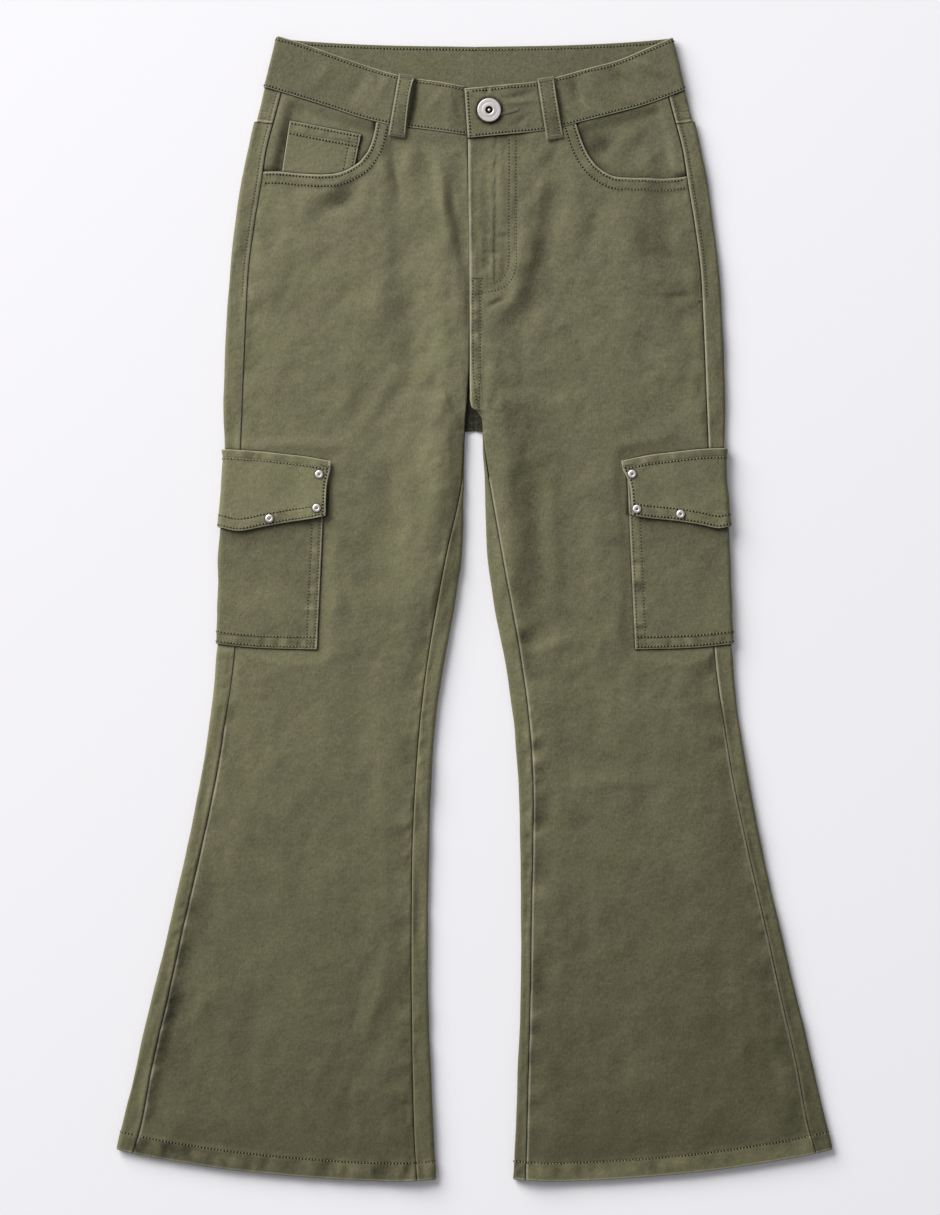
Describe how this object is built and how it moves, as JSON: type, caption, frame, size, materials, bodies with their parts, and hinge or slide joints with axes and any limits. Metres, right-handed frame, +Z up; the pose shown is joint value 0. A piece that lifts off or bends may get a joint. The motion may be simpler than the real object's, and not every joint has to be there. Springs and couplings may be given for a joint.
{
  "type": "cargo pants",
  "caption": "Flared cargo pants in olive twill, laid flat, with flapped thigh pockets, belt loops and a metal waist button.",
  "frame": {"origin": "on the floor under the middle of the garment's box", "axes": "+Z up from the surface that the garment lies on, waist towards +Y, hems towards -Y, the wearer's left leg at +X"},
  "size_m": [0.524, 0.8382, 0.0115],
  "materials": {
    "olive_twill": "matt, garment-washed",
    "silver_metal": "satin with bright rims",
    "zip_tape": "matt"
  },
  "bodies": {
    "root": {"front_panel_left": "olive_twill", "front_panel_right": "olive_twill", "back_panel_left": "olive_twill", "back_panel_right": "olive_twill", "back_yoke_left": "olive_twill", "back_yoke_right": "olive_twill", "waistband_left": "olive_twill", "waistband_right": "olive_twill", "belt_loop_front_left": "olive_twill", "belt_loop_front_right": "olive_twill", "belt_loop_back_left": "olive_twill", "belt_loop_back_centre": "olive_twill", "belt_loop_back_right": "olive_twill", "pocket_facing_left": "olive_twill", "pocket_facing_right": "olive_twill", "coin_pocket": "olive_twill", "cargo_pocket_left": "olive_twill", "cargo_pocket_right": "olive_twill", "cargo_flap_left": "olive_twill", "cargo_flap_right": "olive_twill", "stud_left_top": "silver_metal", "stud_left_corner": "silver_metal", "stud_left_middle": "silver_metal", "stud_right_top": "silver_metal", "stud_right_corner": "silver_metal", "stud_right_middle": "silver_metal", "waist_button": "silver_metal", "fly_zip": "zip_tape"}
  },
  "joints": []
}
